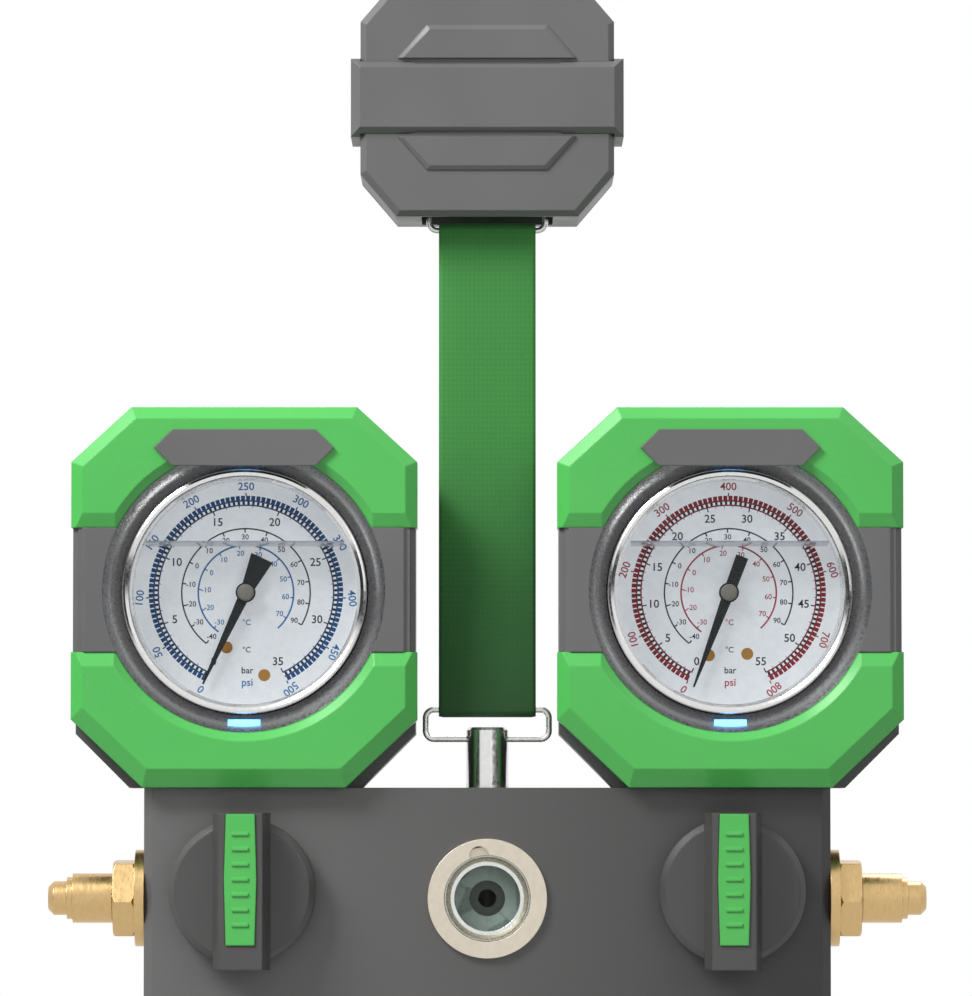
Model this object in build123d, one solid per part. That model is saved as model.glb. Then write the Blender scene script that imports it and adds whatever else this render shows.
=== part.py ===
from build123d import *
from math import cos, pi, radians, sin
import os

# Refrigerant manifold gauge: a two-valve manifold block with two glycerine-filled gauges in
# guarded heads, hung by a webbing strap and two wire rings from a magnetic hanger.
# Millimetres. +Z up, +X to the viewer's right, the dials face -Y. The origin is the centre
# of the hanger's magnet face, which rests on a steel wall or panel.

# Hanger
HANGER_WIDTH = 71.6
HANGER_HEIGHT = 67.0
HANGER_DEPTH = 34.0
HANGER_CUT_X = 10.2
HANGER_CUT_Z = 11.9
HANGER_BEVEL = 1.6
HANGER_WALL = 2.6
HANGER_BACK_THICKNESS = 6.5
HANGER_EYE_WIDTH = 20.0
HANGER_EYE_RADIUS = 3.2
BAND_WIDTH = 77.0
BAND_HEIGHT = 22.2
BAND_PROUD = 1.8
BAND_BEVEL = 2.6
PAD_TOP_WIDTH = 50.4
PAD_LOW_WIDTH = 34.0
PAD_DROP = 9.4
PAD_PROUD = 1.2
MAGNET_RADIUS = 9.0
MAGNET_THICKNESS = 4.0
MAGNET_X = 20.0
MAGNET_Z = 15.0
HANGER_SCREW_X = 29.0
HANGER_SCREW_Z = 6.0
SCREW_RADIUS = 1.5
SCREW_HEAD_RADIUS = 2.8
SCREW_HEAD_HEIGHT = 1.6
SCREW_GRIP = 7.0

# Wire rings, webbing and post
HANG_Y = -22.2
WIRE_RADIUS = 0.85
UPPER_RING_WIDTH = 34.6
LOWER_RING_WIDTH = 36.5
RING_HEIGHT = 10.0
RING_CORNER = 3.2
UPPER_EYE_Z = -28.3
STRAP_WIDTH = 27.4
STRAP_LENGTH = 140.2
WEB_THICKNESS = 1.2
LOOP_CLEARANCE = 0.15
LOOP_TAPER = 8.0
STRAP_TURNBACK = 26.0
POST_RADIUS = 6.0
POST_ABOVE_EYE = 3.3
POST_CHAMFER = 0.8
POST_THREAD_RADIUS = 4.0
POST_THREAD_LENGTH = 8.0
EYE_CLEARANCE = 0.1

# Manifold block
BLOCK_WIDTH = 192.4
BLOCK_HEIGHT = 61.8
BLOCK_DEPTH = 36.0
BLOCK_MID_Y = -20.0
BLOCK_BEVEL = 2.5
POST_REACH = 13.8
SERVICE_OFFSET = 4.0
RETURN_OFFSET = 5.0
PORT_DROP = 31.0
GALLERY_RADIUS = 2.5
PORT_THREAD_RADIUS = 6.5
PORT_THREAD_LENGTH = 10.0

# Side and centre ports, quarter-inch flare
FLANGE_RADIUS = 13.6
FLANGE_THICKNESS = 2.8
HEX_FLATS = 20.4
HEX_THICKNESS = 6.2
CENTRE_HEX_FLATS = 17.5
FLARE_RADIUS = 5.555
FLARE_LENGTH = 11.7
FLARE_TIP_RADIUS = 3.9
FLARE_TIP_LENGTH = 1.7
CAP_RADIUS = 6.95
CAP_LENGTH = 11.2
CAP_GAP = 0.3
CAP_CLEARANCE = 0.08
CAP_COLLAR_RADIUS = 5.9
CAP_COLLAR_LENGTH = 1.6
CAP_NUB_RADIUS = 4.75
CAP_NUB_LENGTH = 5.3
CAP_NUB_ROUND = 1.5
CAP_END_SPACE = 0.3

# Sight glass
SIGHT_FLANGE_RADIUS = 16.7
SIGHT_FLANGE_THICKNESS = 1.4
SIGHT_POCKET_RADIUS = 14.5
SIGHT_POCKET_DEPTH = 8.0
SIGHT_OPENING_RADIUS = 12.1
SIGHT_SEAT_RADIUS = 11.5
SIGHT_SEAT_LENGTH = 6.0
SIGHT_LENS_RADIUS = 9.2
SIGHT_LENS_THICKNESS = 3.0
SIGHT_RING_THICKNESS = 1.5
SIGHT_HOLE_RADIUS = 5.0
SIGHT_NOTCH_RADIUS = 2.7
SIGHT_NOTCH_X = -2.3
SIGHT_NOTCH_Z = 11.9
SIGHT_NOTCH_DEPTH = 2.2

# Valves
VALVE_X = 68.4
VALVE_RISE = 2.1
BONNET_RADIUS = 7.0
BONNET_LENGTH = 9.5
BONNET_FLANGE_RADIUS = 9.0
BONNET_FLANGE_THICKNESS = 2.0
CHAMBER_RADIUS = 5.0
CHAMBER_LENGTH = 8.0
SEAT_RADIUS = 2.0
PISTON_LENGTH = 5.0
PISTON_LAND = 2.0
PISTON_NOSE_RADIUS = 2.8
SPINDLE_RADIUS = 3.0
SPINDLE_TIP_RADIUS = 1.6
RUNNING_CLEARANCE = 0.06
PISTON_BORE_END = 0.7
PISTON_TRAVEL = 2.25
KNOB_RADIUS = 20.4
KNOB_STANDOFF = 0.4
KNOB_BASE = 8.6
KNOB_RIM_BEVEL = 1.6
KNOB_SKIRT = 2.4
KNOB_RECESS = 5.6
KNOB_HUB_RADIUS = 6.5
GRIP_HEIGHT = 11.0
GRIP_HALF_LENGTH = 21.8
GRIP_TOP_WIDTH = 12.4
GRIP_ROOT_WIDTH = 16.0
INSERT_WIDTH = 9.0
INSERT_LENGTH = 36.4
INSERT_THICKNESS = 2.2
INSERT_RISE = 3.3
INSERT_PROUD = 0.5
INSERT_BARREL = 0.5
INSERT_RIBS = 7
RIB_LENGTH = 4.6
RIB_WIDTH = 0.9
RIB_HEIGHT = 0.35
RIB_PITCH = 4.2

# Gauge heads
HEAD_X = 68.0
HEAD_RISE = 54.9
HEAD_WIDTH = 96.8
HEAD_ABOVE_AXIS = 51.5
TOP_CUT_X = 16.8
TOP_CUT_Z = 15.4
LOW_CUT_X = 20.0
LOW_CUT_Z = 19.0
COVER_FRONT = 22.0
COVER_DEPTH = 16.0
COVER_WALL = 2.0
COVER_BEVEL = 3.3
COVER_LOW_BEVEL = 5.2
COVER_BEVEL_DEPTH = 2.6
SPLIT_ABOVE = 17.7
SPLIT_BELOW = 17.1
SPLIT_BEVEL = 4.0
SPLIT_BEVEL_DEPTH = 1.6
BAND_SINK = 1.2
BAND_INSET = 0.5
FRAME_THICKNESS = 3.0
HOUSING_INSET = 0.6
HOUSING_BACK = 19.0
HOUSING_WALL = 2.4
HOUSING_LOW_CUT = 15.5
OPENING_RADIUS = 39.5
OPENING_BEVEL = 2.5
REFLECTOR_WALL = 0.9
REFLECTOR_DEPTH = 6.0
BOSS_RADIUS = 3.6
BOSS_X = 40.5
BOSS_ABOVE = 30.5
BOSS_BELOW = 34.0
BADGE_WIDTH = 50.4
BADGE_HEIGHT = 10.2
BADGE_POINT = 5.2
BADGE_THICKNESS = 1.2
BADGE_RISE = 40.0
LED_WIDTH = 9.0
LED_HEIGHT = 2.6
LED_DEPTH = 3.0
LED_RADIUS = 37.2

# Gauges
CASE_RADIUS = 33.0
CASE_WALL = 1.4
CASE_FRONT = 14.0
CASE_BACK = 14.0
CASE_BASE = 1.6
BEZEL_RADIUS = 34.3
BEZEL_LIP_RADIUS = 32.5
BEZEL_LIP = 1.1
BEZEL_LENGTH = 7.0
BEZEL_ROUND = 0.9
WINDOW_THICKNESS = 2.4
DIAL_DEPTH = 9.0
DIAL_THICKNESS = 0.8
DIAL_LEDGE = 1.0
DIAL_HOLE_RADIUS = 2.2
POINTER_LIFT = 2.4
POINTER_THICKNESS = 0.6
POINTER_LENGTH = 28.4
POINTER_ROOT = 1.6
POINTER_TIP = 0.5
POINTER_TAIL = 10.8
TAIL_LEFT_WIDTH = 6.6
TAIL_RIGHT_WIDTH = 3.6
HUB_RADIUS = 2.8
HUB_HEIGHT = 1.0
ARBOR_RADIUS = 0.75
LEFT_REST_ANGLE = 25.0
RIGHT_REST_ANGLE = 20.5
PLATE_THICKNESS = 1.0
PLATE_FRONT = 2.0
PLATE_GAP = 7.0
PLATE_LEFT = 8.0
PLATE_RIGHT = 19.6
PLATE_UP = 9.0
PLATE_DOWN = 13.0
PILLAR_RADIUS = 1.4
GEAR_MODULE = 0.3
PINION_TEETH = 12
SECTOR_TEETH = 96
SECTOR_SWEEP = 37.5
SECTOR_MARGIN = 7.5
GEAR_WIDTH = 1.6
GEAR_ADDENDUM = 0.8
GEAR_DEDENDUM = 1.3
TOOTH_SHARE = 0.55
TIP_SHARE = 0.20
TUBE_MID_RADIUS = 26.6
TUBE_RADIAL = 2.6
TUBE_AXIAL = 8.0
TUBE_WALL = 0.5
TUBE_START = -77.0
TUBE_SWEEP = 251.0
SOCKET_WIDTH = 13.0
SOCKET_BORE_RADIUS = 1.5
STEM_RADIUS = 6.0
STEM_THREAD_RADIUS = 5.0
STEM_THREAD_LENGTH = 10.0

# Places worked out from the sizes
LOOP_INNER = WIRE_RADIUS + LOOP_CLEARANCE
LOOP_OUTER = LOOP_INNER + WEB_THICKNESS
STRAP_SPAN = STRAP_LENGTH - 2 * LOOP_OUTER
RING_PITCH = RING_HEIGHT - 2 * WIRE_RADIUS
STRAP_TOP_Z = UPPER_EYE_Z - RING_PITCH
STRAP_LOW_Z = STRAP_TOP_Z - STRAP_SPAN
POST_EYE_Z = STRAP_LOW_Z - RING_PITCH
BLOCK_TOP = POST_EYE_Z - POST_REACH
BLOCK_LOW = BLOCK_TOP - BLOCK_HEIGHT
BLOCK_FRONT = BLOCK_MID_Y - BLOCK_DEPTH / 2
BLOCK_BACK = BLOCK_MID_Y + BLOCK_DEPTH / 2
PORT_Z = BLOCK_TOP - PORT_DROP
VALVE_Z = PORT_Z + VALVE_RISE
SERVICE_Y = BLOCK_MID_Y - SERVICE_OFFSET
RETURN_Y = BLOCK_MID_Y + RETURN_OFFSET
HEAD_Y = SERVICE_Y
HEAD_Z = BLOCK_TOP + HEAD_RISE
HEAD_TOP = HEAD_Z + HEAD_ABOVE_AXIS
COVER_Y = HEAD_Y - COVER_FRONT
COVER_BACK_Y = COVER_Y + COVER_DEPTH
FRAME_Y = COVER_Y + COVER_WALL
RIM_Y = FRAME_Y + FRAME_THICKNESS
HOUSING_BACK_Y = HEAD_Y + HOUSING_BACK
SPLIT_TOP = HEAD_Z + SPLIT_ABOVE
SPLIT_LOW = HEAD_Z - SPLIT_BELOW
CASE_FRONT_Y = HEAD_Y - CASE_FRONT
CASE_BACK_Y = HEAD_Y + CASE_BACK
WINDOW_Y = CASE_FRONT_Y - WINDOW_THICKNESS
DIAL_Y = CASE_FRONT_Y + DIAL_DEPTH
DIAL_RADIUS = CASE_RADIUS - CASE_WALL - RUNNING_CLEARANCE
PLATE_Y = DIAL_Y + DIAL_THICKNESS + PLATE_FRONT
PLATE_BACK_Y = PLATE_Y + PLATE_THICKNESS + PLATE_GAP
PINION_RADIUS = GEAR_MODULE * PINION_TEETH / 2
SECTOR_RADIUS = GEAR_MODULE * SECTOR_TEETH / 2
GEAR_CENTRES = PINION_RADIUS + SECTOR_RADIUS
GEAR_Y = PLATE_Y + PLATE_THICKNESS + (PLATE_GAP - GEAR_WIDTH) / 2
CHAMBER_Y = BLOCK_FRONT + BONNET_LENGTH
SEAT_Y = CHAMBER_Y + CHAMBER_LENGTH
KNOB_BACK_Y = BLOCK_FRONT - KNOB_STANDOFF
KNOB_FACE_Y = KNOB_BACK_Y - KNOB_BASE
GRIP_FACE_Y = KNOB_FACE_Y - GRIP_HEIGHT


def front_plane(y):
    return Plane(origin=(0, y, 0), x_dir=(1, 0, 0), z_dir=(0, -1, 0))


def slab(points, y_front, y_back):
    """A prism with its outline in X and Z, from y_front to y_back."""
    outline = front_plane(y_back) * Polygon(*points, align=None)
    return extrude(outline, y_back - y_front, dir=(0, -1, 0))


def bar_x(points, x_low, x_high):
    """A prism with its outline in Y and Z, from x_low to x_high."""
    plane = Plane(origin=(x_low, 0, 0), x_dir=(0, 1, 0), z_dir=(1, 0, 0))
    return extrude(plane * Polygon(*points, align=None), x_high - x_low, dir=(1, 0, 0))


def rod_y(x, z, radius, y_front, y_back):
    return Pos(x, (y_front + y_back) / 2, z) * Rot(90, 0, 0) * Cylinder(radius, y_back - y_front)


def rod_x(y, z, radius, x_low, x_high):
    return Pos((x_low + x_high) / 2, y, z) * Rot(0, 90, 0) * Cylinder(radius, x_high - x_low)


def rod_z(x, y, radius, z_low, z_high):
    return Pos(x, y, (z_low + z_high) / 2) * Cylinder(radius, z_high - z_low)


def block(x, y, z, x_high, y_high, z_high):
    size = (x_high - x, y_high - y, z_high - z)
    return Pos((x + x_high) / 2, (y + y_high) / 2, (z + z_high) / 2) * Box(*size)


def turned_y(points, x, z):
    """A turned shape about an axis along Y; each point is (radius, y)."""
    plane = Plane(origin=(x, 0, z), x_dir=(1, 0, 0), z_dir=(0, 0, 1))
    return revolve(plane * Polygon(*points, align=None), Axis((x, 0, z), (0, 1, 0)))


def turned_x(points, y, z):
    """A turned shape about an axis along X; each point is (radius, x)."""
    plane = Plane(origin=(0, y, z), x_dir=(0, 0, 1), z_dir=(0, 1, 0))
    return revolve(plane * Polygon(*points, align=None), Axis((0, y, z), (1, 0, 0)))


def turned_z(points, x, y):
    """A turned shape about an upright axis; each point is (radius, z)."""
    plane = Plane(origin=(x, y, 0), x_dir=(1, 0, 0), z_dir=(0, -1, 0))
    return revolve(plane * Polygon(*points, align=None), Axis((x, y, 0), (0, 0, 1)))


def save(shape, node):
    export_step(shape, f"parts/{node}.step")


def cut_corners(low_x, high_x, low_z, high_z, top_x, top_z, low_cut_x, low_cut_z):
    """An octagon: a rectangle with its upper and lower corners cut off."""
    return [
        (low_x + low_cut_x, low_z),
        (high_x - low_cut_x, low_z),
        (high_x, low_z + low_cut_z),
        (high_x, high_z - top_z),
        (high_x - top_x, high_z),
        (low_x + top_x, high_z),
        (low_x, high_z - top_z),
        (low_x, low_z + low_cut_z),
    ]


def bevelled(outer, inner, y_front, y_edge, y_back):
    """A slab whose front face is the inner outline, bevelled back to the outer one."""
    nose = loft([front_plane(y_edge) * Polygon(*outer, align=None),
                 front_plane(y_front) * Polygon(*inner, align=None)])
    return slab(outer, y_edge, y_back) + nose


def hexagon(flats, turn):
    corner = flats / 2 / cos(radians(30))
    angles = [radians(turn + 60 * k) for k in range(6)]
    return [(corner * cos(a), corner * sin(a)) for a in angles]


os.makedirs("parts", exist_ok=True)


def hanger_outline(inset):
    half_x = HANGER_WIDTH / 2 - inset
    half_z = HANGER_HEIGHT / 2 - inset
    trim = inset * 0.41
    cut_x = HANGER_CUT_X - trim
    cut_z = HANGER_CUT_Z - trim
    return cut_corners(-half_x, half_x, -half_z, half_z, cut_x, cut_z, cut_x, cut_z)


def make_hanger():
    """The hanger: a hollow front shell, a raised band, a back cover, magnets and screws."""
    rim_y = -HANGER_BACK_THICKNESS
    face_y = -HANGER_DEPTH
    shell = bevelled(hanger_outline(0), hanger_outline(HANGER_BEVEL), face_y, face_y + HANGER_BEVEL, rim_y)
    shell -= slab(hanger_outline(HANGER_WALL), face_y + HANGER_WALL, rim_y)
    slot_half = UPPER_RING_WIDTH / 2 + 1.3
    slot = block(-slot_half, face_y + HANGER_WALL, -HANGER_HEIGHT / 2, slot_half, rim_y,
                 -HANGER_HEIGHT / 2 + HANGER_WALL)
    shell -= slot
    eye_half = HANGER_EYE_WIDTH / 2
    eye_top = UPPER_EYE_Z + HANGER_EYE_RADIUS + 2
    eye = block(-eye_half, face_y + HANGER_WALL, UPPER_EYE_Z, eye_half, rim_y, eye_top)
    eye += rod_x(HANG_Y, UPPER_EYE_Z, HANGER_EYE_RADIUS, -eye_half, eye_half)
    eye -= rod_x(HANG_Y, UPPER_EYE_Z, WIRE_RADIUS + EYE_CLEARANCE, -eye_half, eye_half)
    shell += eye
    for x in (-HANGER_SCREW_X, HANGER_SCREW_X):
        for z in (-HANGER_SCREW_Z, HANGER_SCREW_Z):
            shell += rod_y(x, z, SCREW_RADIUS + 2, face_y + HANGER_WALL, rim_y)
            shell -= rod_y(x, z, SCREW_RADIUS, rim_y - SCREW_GRIP, rim_y)
    pad_top = -BAND_HEIGHT / 2
    pad_low = pad_top - PAD_DROP
    pad = [(-PAD_LOW_WIDTH / 2, pad_low), (PAD_LOW_WIDTH / 2, pad_low),
           (PAD_TOP_WIDTH / 2, pad_top), (-PAD_TOP_WIDTH / 2, pad_top)]
    pad_face = [(x * 0.95, pad_top if z == pad_top else z + PAD_PROUD) for x, z in pad]
    lower_pad = bevelled(pad, pad_face, face_y - PAD_PROUD, face_y - PAD_PROUD / 3, face_y)
    shell += lower_pad
    shell += mirror(lower_pad, Plane.XY)
    save(shell, "hanger_shell")

    half_x = BAND_WIDTH / 2
    half_z = BAND_HEIGHT / 2
    tab_z = half_z - 1.6
    tab_x = PAD_TOP_WIDTH / 2 - 5
    band_outer = [(-half_x, -half_z), (half_x, -half_z), (half_x, half_z), (-half_x, half_z)]
    inset_x = half_x - BAND_BEVEL
    inset_z = half_z - BAND_BEVEL
    band_inner = [(-inset_x, -inset_z), (inset_x, -inset_z), (inset_x, inset_z), (-inset_x, inset_z)]
    band = bevelled(band_outer, band_inner, face_y - BAND_PROUD, face_y - BAND_PROUD + BAND_BEVEL, rim_y)
    band -= slab(hanger_outline(0), face_y, rim_y)
    for side in (-1, 1):
        notch = [(-tab_x, side * tab_z), (tab_x, side * tab_z),
                 (tab_x + 2.6, side * half_z), (-tab_x - 2.6, side * half_z)]
        band -= slab(notch, face_y - BAND_PROUD, face_y)
    save(band, "hanger_band")

    cover = slab(hanger_outline(0), rim_y, 0)
    magnets = []
    screws = []
    for x in (-MAGNET_X, MAGNET_X):
        for z in (-MAGNET_Z, MAGNET_Z):
            pocket = rod_y(x, z, MAGNET_RADIUS, -MAGNET_THICKNESS, 0)
            cover -= pocket
            magnets.append(pocket)
    for x in (-HANGER_SCREW_X, HANGER_SCREW_X):
        for z in (-HANGER_SCREW_Z, HANGER_SCREW_Z):
            shank = rod_y(x, z, SCREW_RADIUS, rim_y - SCREW_GRIP, -SCREW_HEAD_HEIGHT)
            head = rod_y(x, z, SCREW_HEAD_RADIUS, -SCREW_HEAD_HEIGHT, 0)
            cover -= rod_y(x, z, SCREW_RADIUS, rim_y, 0) + head
            socket = extrude(front_plane(0) * Pos(x, z) * RegularPolygon(1.3, 6), 1.0)
            screws.append(shank + head - socket)
    save(cover, "hanger_back_cover")
    save(Compound(children=magnets), "hanger_magnets")
    save(Compound(children=screws), "hanger_screws")


def wire_ring(width, top_z):
    """A closed rounded-rectangle ring of round wire; its top bar lies at top_z."""
    outline = RectangleRounded(width - 2 * WIRE_RADIUS, RING_PITCH, RING_CORNER - WIRE_RADIUS)
    path = (front_plane(HANG_Y) * Pos(0, top_z - RING_PITCH / 2) * outline).wires()[0]
    section = Plane(origin=path @ 0, z_dir=path % 0) * Circle(WIRE_RADIUS)
    return sweep(section, path)


def strap_end(bar_z, away):
    """The sewn loop round one bar: an eye that tapers into two plies lying together."""
    tip = bar_z + away * LOOP_TAPER
    end = bar_z + away * STRAP_TURNBACK
    half = STRAP_WIDTH / 2
    outer = rod_x(HANG_Y, bar_z, LOOP_OUTER, -half, half)
    outer += bar_x([(HANG_Y - LOOP_OUTER, bar_z), (HANG_Y + LOOP_OUTER, bar_z),
                    (HANG_Y + WEB_THICKNESS, tip), (HANG_Y - WEB_THICKNESS, tip)], -half, half)
    outer += block(-half, HANG_Y - WEB_THICKNESS, min(tip, end), half, HANG_Y + WEB_THICKNESS, max(tip, end))
    eye_tip = bar_z + away * LOOP_TAPER * 0.8
    eye = rod_x(HANG_Y, bar_z, LOOP_INNER, -half, half)
    eye += bar_x([(HANG_Y - LOOP_INNER, bar_z), (HANG_Y + LOOP_INNER, bar_z), (HANG_Y, eye_tip)], -half, half)
    return outer, eye


def make_strap():
    half = STRAP_WIDTH / 2
    strap = block(-half, HANG_Y - WEB_THICKNESS, STRAP_LOW_Z + LOOP_TAPER, half, HANG_Y,
                  STRAP_TOP_Z - LOOP_TAPER)
    top, top_eye = strap_end(STRAP_TOP_Z, -1)
    low, low_eye = strap_end(STRAP_LOW_Z, 1)
    save(strap + top + low - top_eye - low_eye, "strap")


def make_post():
    top = POST_EYE_Z + POST_ABOVE_EYE
    post = turned_z([(0, BLOCK_TOP - POST_THREAD_LENGTH), (POST_THREAD_RADIUS, BLOCK_TOP - POST_THREAD_LENGTH),
                     (POST_THREAD_RADIUS, BLOCK_TOP), (POST_RADIUS, BLOCK_TOP),
                     (POST_RADIUS, top - POST_CHAMFER), (POST_RADIUS - POST_CHAMFER, top), (0, top)], 0, HANG_Y)
    post -= rod_x(HANG_Y, POST_EYE_Z, WIRE_RADIUS + EYE_CLEARANCE, -POST_RADIUS, POST_RADIUS)
    save(post, "hanging_post")


def make_block():
    """The drilled block: side galleries to each valve, one return gallery behind the seats."""
    half = BLOCK_WIDTH / 2
    face = BLOCK_FRONT + BLOCK_BEVEL
    outline = [(-half, BLOCK_BACK), (-half, face), (-half + BLOCK_BEVEL, BLOCK_FRONT),
               (half - BLOCK_BEVEL, BLOCK_FRONT), (half, face), (half, BLOCK_BACK)]
    body = Pos(0, 0, BLOCK_LOW) * extrude(Polygon(*outline, align=None), BLOCK_HEIGHT)
    body -= rod_z(0, HANG_Y, POST_THREAD_RADIUS, BLOCK_TOP - POST_THREAD_LENGTH, BLOCK_TOP)
    body -= rod_x(RETURN_Y, VALVE_Z, GALLERY_RADIUS, -VALVE_X, VALVE_X)
    body -= rod_z(0, RETURN_Y, GALLERY_RADIUS, BLOCK_LOW, VALVE_Z)
    body -= rod_z(0, RETURN_Y, PORT_THREAD_RADIUS, BLOCK_LOW, BLOCK_LOW + PORT_THREAD_LENGTH)
    body -= rod_y(0, PORT_Z, SIGHT_POCKET_RADIUS, BLOCK_FRONT, BLOCK_FRONT + SIGHT_POCKET_DEPTH)
    body -= rod_y(0, PORT_Z, GALLERY_RADIUS, BLOCK_FRONT + SIGHT_POCKET_DEPTH, RETURN_Y)
    for side in (-1, 1):
        x = side * VALVE_X
        inner, outer = sorted((x, side * half))
        body -= rod_x(SERVICE_Y, PORT_Z, GALLERY_RADIUS, inner, outer)
        inner, outer = sorted((side * (half - PORT_THREAD_LENGTH), side * half))
        body -= rod_x(SERVICE_Y, PORT_Z, PORT_THREAD_RADIUS, inner, outer)
        body -= rod_y(x, VALVE_Z, BONNET_RADIUS, BLOCK_FRONT, CHAMBER_Y)
        body -= rod_y(x, VALVE_Z, CHAMBER_RADIUS, CHAMBER_Y, SEAT_Y)
        body -= rod_y(x, VALVE_Z, SEAT_RADIUS, SEAT_Y, RETURN_Y)
        stem_x = side * HEAD_X
        body -= rod_z(stem_x, SERVICE_Y, STEM_THREAD_RADIUS, BLOCK_TOP - STEM_THREAD_LENGTH, BLOCK_TOP)
        body -= rod_z(stem_x, SERVICE_Y, SOCKET_BORE_RADIUS, VALVE_Z, BLOCK_TOP - STEM_THREAD_LENGTH)
    save(body, "manifold_block")


def flare_points(start, sign, root_radius, back):
    """The turned profile of a male flare end from its thread in the block to its nose."""
    nose = start + sign * FLARE_LENGTH
    return [(GALLERY_RADIUS, back), (root_radius, back), (root_radius, start), (FLARE_RADIUS, start),
            (FLARE_RADIUS, nose - sign * FLARE_TIP_LENGTH), (FLARE_TIP_RADIUS, nose), (GALLERY_RADIUS, nose)]


def make_ports():
    half = BLOCK_WIDTH / 2
    for name, side in (("left", -1), ("right", 1)):
        face = side * half
        hex_face = face + side * FLANGE_THICKNESS
        thread_start = hex_face + side * HEX_THICKNESS
        points = flare_points(face, side, PORT_THREAD_RADIUS, face - side * PORT_THREAD_LENGTH)
        nose = thread_start + side * FLARE_LENGTH
        points[-3:] = [(FLARE_RADIUS, nose - side * FLARE_TIP_LENGTH), (FLARE_TIP_RADIUS, nose),
                       (GALLERY_RADIUS, nose)]
        fitting = turned_x(points, SERVICE_Y, PORT_Z)
        inner, outer = sorted((face, hex_face))
        flange = rod_x(SERVICE_Y, PORT_Z, FLANGE_RADIUS, inner, outer)
        low, high = sorted((hex_face, thread_start))
        corners = [(SERVICE_Y + a, PORT_Z + b) for a, b in hexagon(HEX_FLATS, 5)]
        nut = bar_x(corners, low, high)
        nut &= turned_x([(0, low), (HEX_FLATS / 2 + 0.6, low), (HEX_FLATS / 2 + 1.6, low + 0.8),
                         (HEX_FLATS / 2 + 1.6, high - 0.8), (HEX_FLATS / 2 + 0.6, high), (0, high)],
                        SERVICE_Y, PORT_Z)
        core = rod_x(SERVICE_Y, PORT_Z, GALLERY_RADIUS, inner, high) if side > 0 else \
            rod_x(SERVICE_Y, PORT_Z, GALLERY_RADIUS, low, outer)
        save(fitting + (flange + nut - core), f"{name}_port_fitting")

        skirt = thread_start + side * CAP_GAP
        shoulder = skirt + side * CAP_LENGTH
        collar = shoulder + side * CAP_COLLAR_LENGTH
        end = collar + side * CAP_NUB_LENGTH
        bore = CAP_CLEARANCE + FLARE_RADIUS
        bore_end = nose + side * CAP_END_SPACE
        cap = turned_x([(bore, skirt), (CAP_RADIUS, skirt), (CAP_RADIUS, shoulder),
                        (CAP_COLLAR_RADIUS, shoulder), (CAP_COLLAR_RADIUS, collar),
                        (CAP_NUB_RADIUS, collar), (CAP_NUB_RADIUS, end - side * CAP_NUB_ROUND),
                        (CAP_NUB_RADIUS - CAP_NUB_ROUND, end), (0, end), (0, bore_end), (bore, bore_end)],
                       SERVICE_Y, PORT_Z)
        save(cap, f"{name}_port_cap")

    hex_low = BLOCK_LOW - HEX_THICKNESS
    fitting = turned_z(flare_points(hex_low, -1, PORT_THREAD_RADIUS, BLOCK_LOW + PORT_THREAD_LENGTH), 0, RETURN_Y)
    corners = [(a, RETURN_Y + b) for a, b in hexagon(CENTRE_HEX_FLATS, 0)]
    nut = Pos(0, 0, hex_low) * extrude(Polygon(*corners, align=None), HEX_THICKNESS)
    nut -= rod_z(0, RETURN_Y, GALLERY_RADIUS, hex_low, BLOCK_LOW)
    save(fitting + nut, "centre_port_fitting")


def make_sight_glass():
    face = BLOCK_FRONT - SIGHT_FLANGE_THICKNESS
    floor = BLOCK_FRONT + SIGHT_POCKET_DEPTH
    bezel = turned_y([(SIGHT_OPENING_RADIUS, face), (SIGHT_FLANGE_RADIUS, face),
                      (SIGHT_FLANGE_RADIUS, BLOCK_FRONT), (SIGHT_POCKET_RADIUS, BLOCK_FRONT),
                      (SIGHT_POCKET_RADIUS, floor), (SIGHT_OPENING_RADIUS, floor)], 0, PORT_Z)
    bezel -= rod_y(SIGHT_NOTCH_X, PORT_Z + SIGHT_NOTCH_Z, SIGHT_NOTCH_RADIUS, face, face + SIGHT_NOTCH_DEPTH)
    save(bezel, "sight_glass_bezel")

    seat_front = floor - SIGHT_SEAT_LENGTH
    bevel = 1.2
    seat = turned_y([(SIGHT_LENS_RADIUS, seat_front), (SIGHT_SEAT_RADIUS - bevel, seat_front),
                     (SIGHT_SEAT_RADIUS, seat_front + bevel), (SIGHT_SEAT_RADIUS, floor - 2),
                     (SIGHT_OPENING_RADIUS, floor - 2), (SIGHT_OPENING_RADIUS, floor),
                     (SIGHT_LENS_RADIUS, floor)], 0, PORT_Z)
    save(seat, "sight_glass_seat")
    ring_front = floor - SIGHT_RING_THICKNESS
    lens_front = ring_front - SIGHT_LENS_THICKNESS
    save(rod_y(0, PORT_Z, SIGHT_LENS_RADIUS, lens_front, ring_front), "sight_glass_lens")
    ring = rod_y(0, PORT_Z, SIGHT_LENS_RADIUS, ring_front, floor)
    ring -= rod_y(0, PORT_Z, SIGHT_HOLE_RADIUS, ring_front, floor)
    save(ring, "sight_glass_indicator")


def head_outline(x, inset, low_inset, low_cut_x, low_cut_z):
    """The octagon of one gauge head, moved in by inset and, at its foot, by low_inset."""
    trim = 0.59 * inset
    half = HEAD_WIDTH / 2 - inset
    return cut_corners(x - half, x + half, BLOCK_TOP + low_inset, HEAD_TOP - inset, TOP_CUT_X - trim,
                       TOP_CUT_Z - trim, low_cut_x - trim, low_cut_z - trim)


def cover_outline(x, inset, low_inset=None):
    return head_outline(x, inset, inset if low_inset is None else low_inset, LOW_CUT_X, LOW_CUT_Z)


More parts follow.
